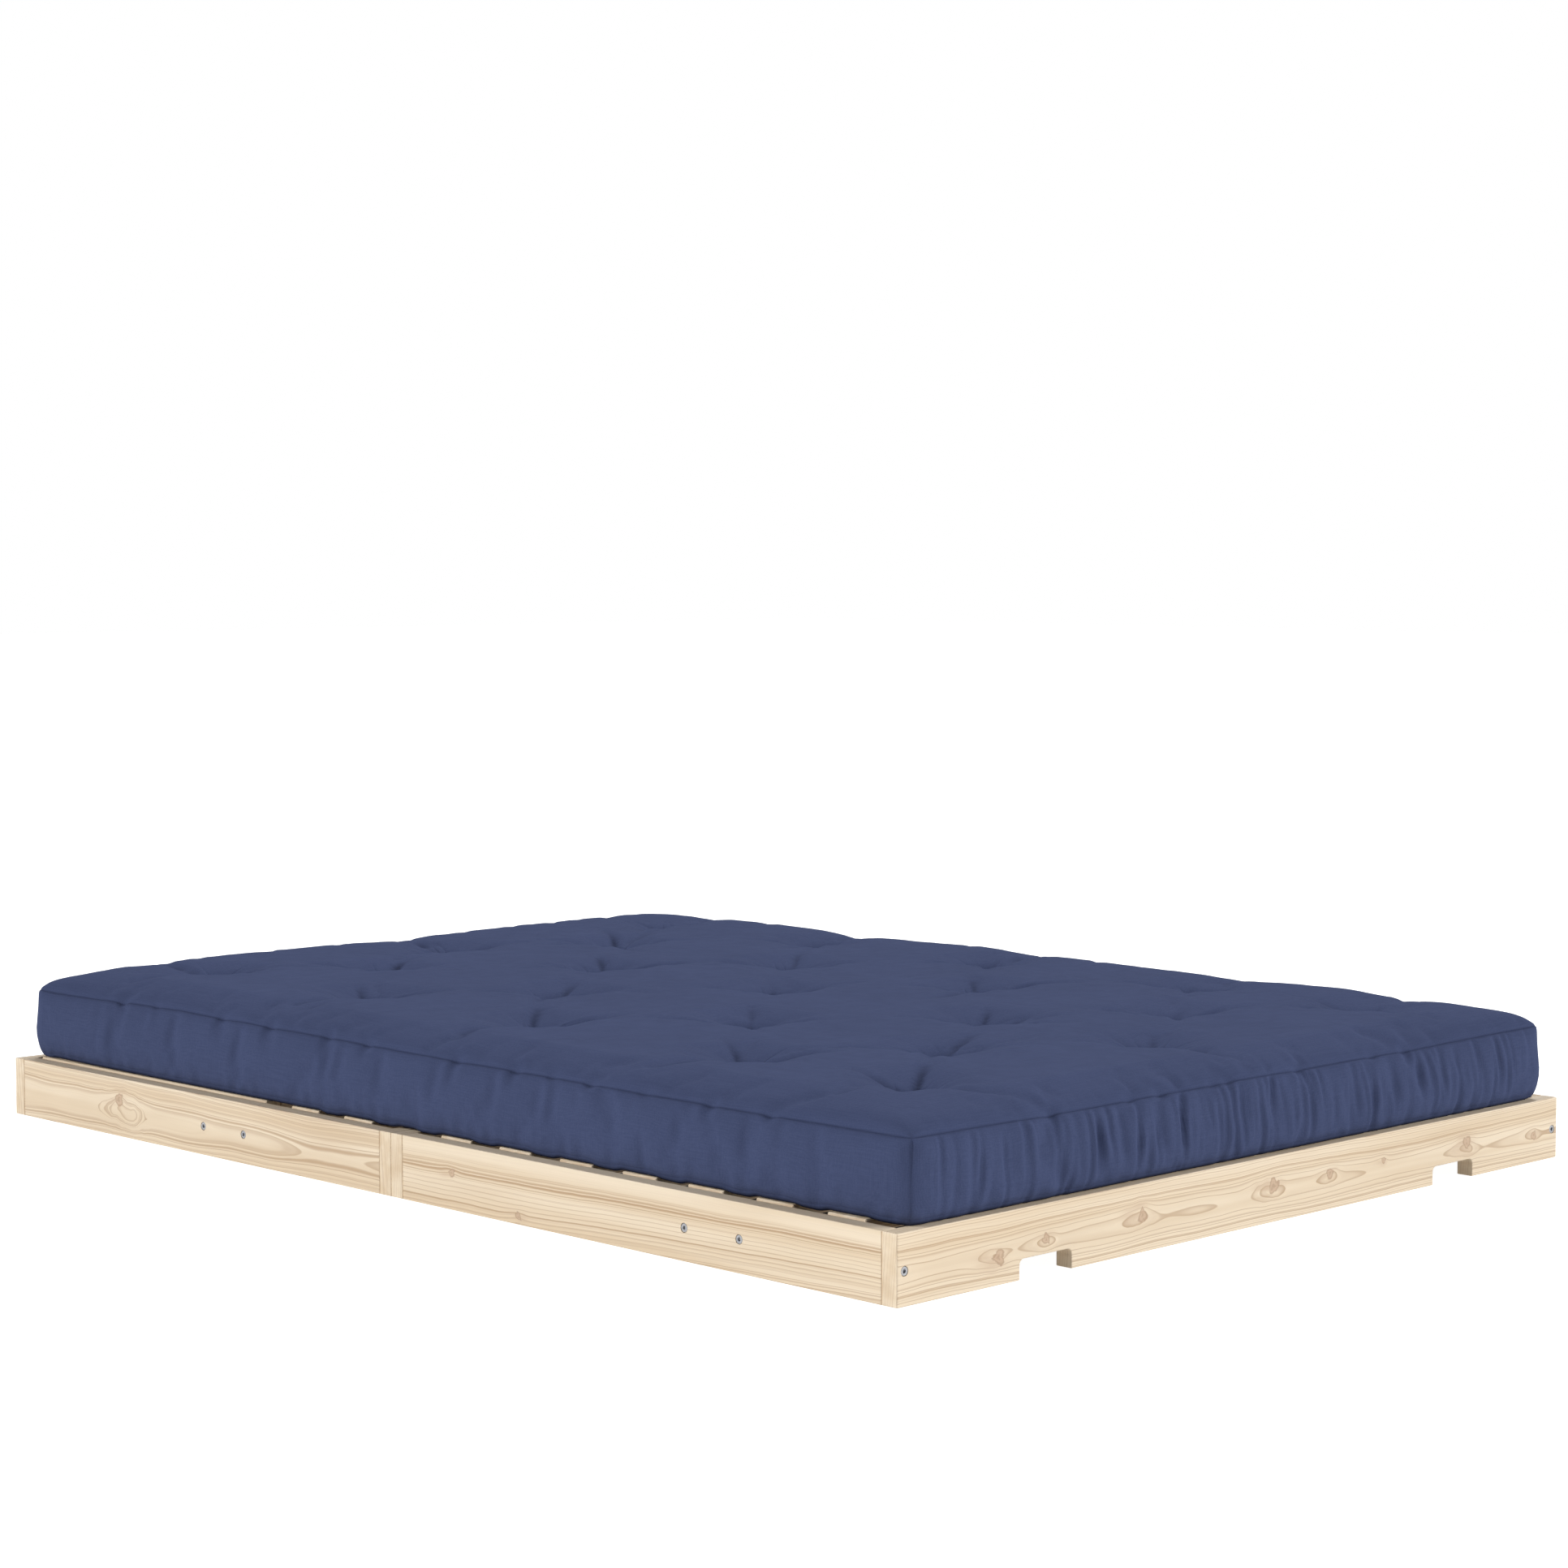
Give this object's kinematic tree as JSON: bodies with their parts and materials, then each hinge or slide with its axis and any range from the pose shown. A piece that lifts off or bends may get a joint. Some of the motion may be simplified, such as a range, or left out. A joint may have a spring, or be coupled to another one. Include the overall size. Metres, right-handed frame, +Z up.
{
  "type": "wooden bed frame with mattress",
  "caption": "Low slatted pine bed frame made as two boxes bolted end to end, with a reclining head panel and a tufted futon mattress on top.",
  "frame": {"origin": "on the floor, under the middle of the bed", "axes": "+X along the length towards the foot end, -Y is the left side as lying on the back looking at the foot, +Z up"},
  "size_m": [2.05, 1.5, 0.2358],
  "materials": {
    "pine_board": "matte",
    "pine_slat": "matte",
    "pine_batten": "matte",
    "steel": "satin",
    "navy_fabric": "matte"
  },
  "bodies": {
    "base": {"box_bolt_left": "steel", "box_bolt_right": "steel", "foot_centre_beam": "pine_batten", "foot_end_board": "pine_board", "foot_end_board_bolt_left": "steel", "foot_end_board_bolt_right": "steel", "foot_inner_board": "pine_board", "foot_inner_board_bolt_left": "steel", "foot_inner_board_bolt_right": "steel", "foot_ledger_left": "pine_batten", "foot_ledger_right": "pine_batten", "foot_rail_bolt_left_1": "steel", "foot_rail_bolt_left_2": "steel", "foot_rail_bolt_right_1": "steel", "foot_rail_bolt_right_2": "steel", "foot_rail_left": "pine_board", "foot_rail_right": "pine_board", "foot_slat_1": "pine_slat", "foot_slat_2": "pine_slat", "foot_slat_3": "pine_slat", "foot_slat_4": "pine_slat", "foot_slat_5": "pine_slat", "foot_slat_6": "pine_slat", "foot_slat_7": "pine_slat", "head_centre_beam_long": "pine_batten", "head_centre_beam_short": "pine_batten", "head_cross_rail": "pine_batten", "head_end_board": "pine_board", "head_end_board_bolt_left": "steel", "head_end_board_bolt_right": "steel", "head_inner_board": "pine_board", "head_inner_board_bolt_left": "steel", "head_inner_board_bolt_right": "steel", "head_ledger_left": "pine_batten", "head_ledger_right": "pine_batten", "head_panel_rest": "pine_batten", "head_rail_left": "pine_board", "head_rail_right": "pine_board", "head_slat_1": "pine_slat", "head_slat_2": "pine_slat", "mattress_fold": "navy_fabric", "mattress_foot_part": "navy_fabric", "pivot_bolt_left": "steel", "pivot_bolt_right": "steel", "pivot_nut_left": "steel", "pivot_nut_right": "steel", "stop_bolt_left": "steel", "stop_bolt_right": "steel", "wing_nut_left": "steel", "wing_nut_right": "steel"},
    "panel": {"mattress_head_part": "navy_fabric", "panel_arm_left": "pine_board", "panel_arm_right": "pine_board", "panel_slat_1": "pine_slat", "panel_slat_2": "pine_slat", "panel_slat_3": "pine_slat", "panel_slat_4": "pine_slat", "panel_slat_5": "pine_slat"}
  },
  "joints": [
    {"name": "panel_tilt", "type": "hinge", "parent": "base", "child": "panel", "pos_m": [-0.37, 0, 0.0457], "axis": [0, 1, 0], "range_deg": [0, 50], "deforming": ["mattress_fold"]}
  ]
}
